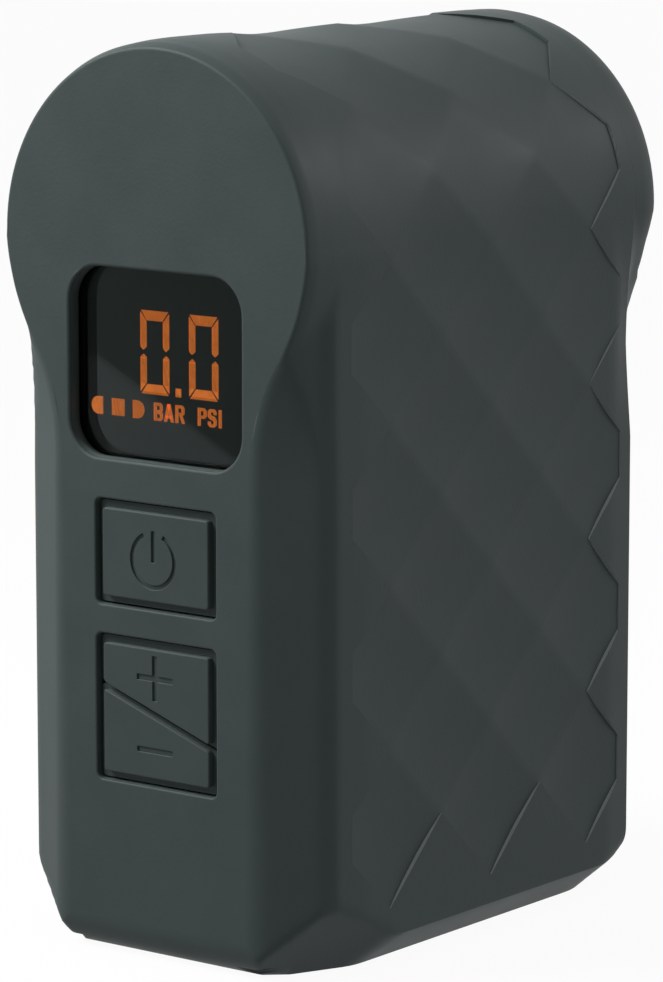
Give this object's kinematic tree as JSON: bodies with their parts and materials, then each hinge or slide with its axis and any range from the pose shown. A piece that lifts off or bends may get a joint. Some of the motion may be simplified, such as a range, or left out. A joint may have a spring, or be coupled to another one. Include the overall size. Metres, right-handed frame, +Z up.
{
  "type": "tyre inflator with gauge",
  "caption": "Hand-held cordless tyre inflator: upright case with round barrel head, sunk digital gauge, push keys, faceted grip sides and a rear air outlet.",
  "frame": {"origin": "middle of the footprint on the resting surface", "axes": "+Z up, the display and keys face -Y, the air outlet and charging socket face +Y"},
  "size_m": [0.056, 0.084, 0.131],
  "materials": {
    "case_plastic": "soft-touch fine-textured ABS",
    "cover_plastic": "soft-touch fine-textured ABS",
    "key_plastic": "soft-touch moulded key",
    "black_plastic": "black moulded nylon",
    "window": "smoked polycarbonate, polished",
    "lit_segments": "lit orange segments",
    "ribbon_film": "polyimide film",
    "board": "green solder mask",
    "screw_steel": "zinc-plated screws",
    "steel": "ground steel",
    "sensor_body": "moulded sensor body",
    "tube": "silicone tube",
    "cell_wrap": "heat-shrunk wrap",
    "nickel": "nickel strip",
    "lead_wire": "insulated lead",
    "socket_shell": "drawn steel shell",
    "motor_steel": "zinc-plated can",
    "brass": "turned brass",
    "die_cast": "die-cast",
    "gear_nylon": "moulded nylon",
    "pump_alloy": "machined aluminium",
    "bronze": "sintered bronze",
    "seal_rubber": "moulded rubber",
    "spring_steel": "spring steel leaf"
  },
  "bodies": {
    "case": {"housing": "case_plastic", "rear_cover": "cover_plastic", "cover_screws": "screw_steel", "display_bezel": "black_plastic", "display_window": "window", "display_module": "black_plastic", "display_segments": "lit_segments", "display_ribbon": "ribbon_film", "key_switches": "black_plastic", "control_board": "board", "board_screws": "screw_steel", "pressure_sensor": "sensor_body", "sensor_hose": "tube", "battery_cell_left": "cell_wrap", "battery_cell_right": "cell_wrap", "battery_tray": "black_plastic", "cell_tabs": "nickel", "battery_leads": "lead_wire", "charge_board": "board", "charge_screws": "screw_steel", "charge_socket": "socket_shell", "motor_case": "motor_steel", "motor_end_cap": "black_plastic", "motor_screws": "screw_steel", "motor_leads": "lead_wire", "gear_frame": "die_cast", "frame_screws": "screw_steel", "gear_axle": "steel", "axle_clip": "spring_steel", "pump_cylinder": "pump_alloy", "head_gasket": "seal_rubber", "reed_valve": "spring_steel", "cylinder_head": "die_cast", "head_screws": "screw_steel", "delivery_tube": "tube", "air_outlet": "brass", "outlet_seal": "seal_rubber"},
    "power_button": {"power_key": "key_plastic", "power_plunger": "black_plastic"},
    "plus_button": {"plus_key": "key_plastic", "plus_plunger": "black_plastic"},
    "minus_button": {"minus_key": "key_plastic", "minus_plunger": "black_plastic"},
    "motor_rotor": {"motor_shaft": "steel", "pinion": "brass"},
    "crank": {"drive_gear": "gear_nylon", "crank_pin": "steel"},
    "piston": {"wobble_piston": "pump_alloy", "rod_bush": "bronze", "piston_seal": "seal_rubber"}
  },
  "joints": [
    {"name": "power_press", "type": "slide", "parent": "case", "child": "power_button", "axis": [0, 1, 0], "range_m": [0, 0.0007], "stiffness_N_per_m": 1500},
    {"name": "plus_press", "type": "slide", "parent": "case", "child": "plus_button", "axis": [0, 1, 0], "range_m": [0, 0.0007], "stiffness_N_per_m": 1500},
    {"name": "minus_press", "type": "slide", "parent": "case", "child": "minus_button", "axis": [0, 1, 0], "range_m": [0, 0.0007], "stiffness_N_per_m": 1500},
    {"name": "motor_spin", "type": "hinge", "parent": "case", "child": "motor_rotor", "pos_m": [0, 0, 0.085], "axis": [0, 1, 0], "continuous": true},
    {"name": "crank_spin", "type": "hinge", "parent": "case", "child": "crank", "pos_m": [0, 0, 0.103], "axis": [0, 1, 0], "continuous": true},
    {"name": "piston_stroke", "type": "slide", "parent": "case", "child": "piston", "axis": [0, 0, -1], "range_m": [0, 0.013]}
  ],
  "couplings": [
    {"joint": "motor_spin", "follows": "crank_spin", "ratio": -5}
  ]
}
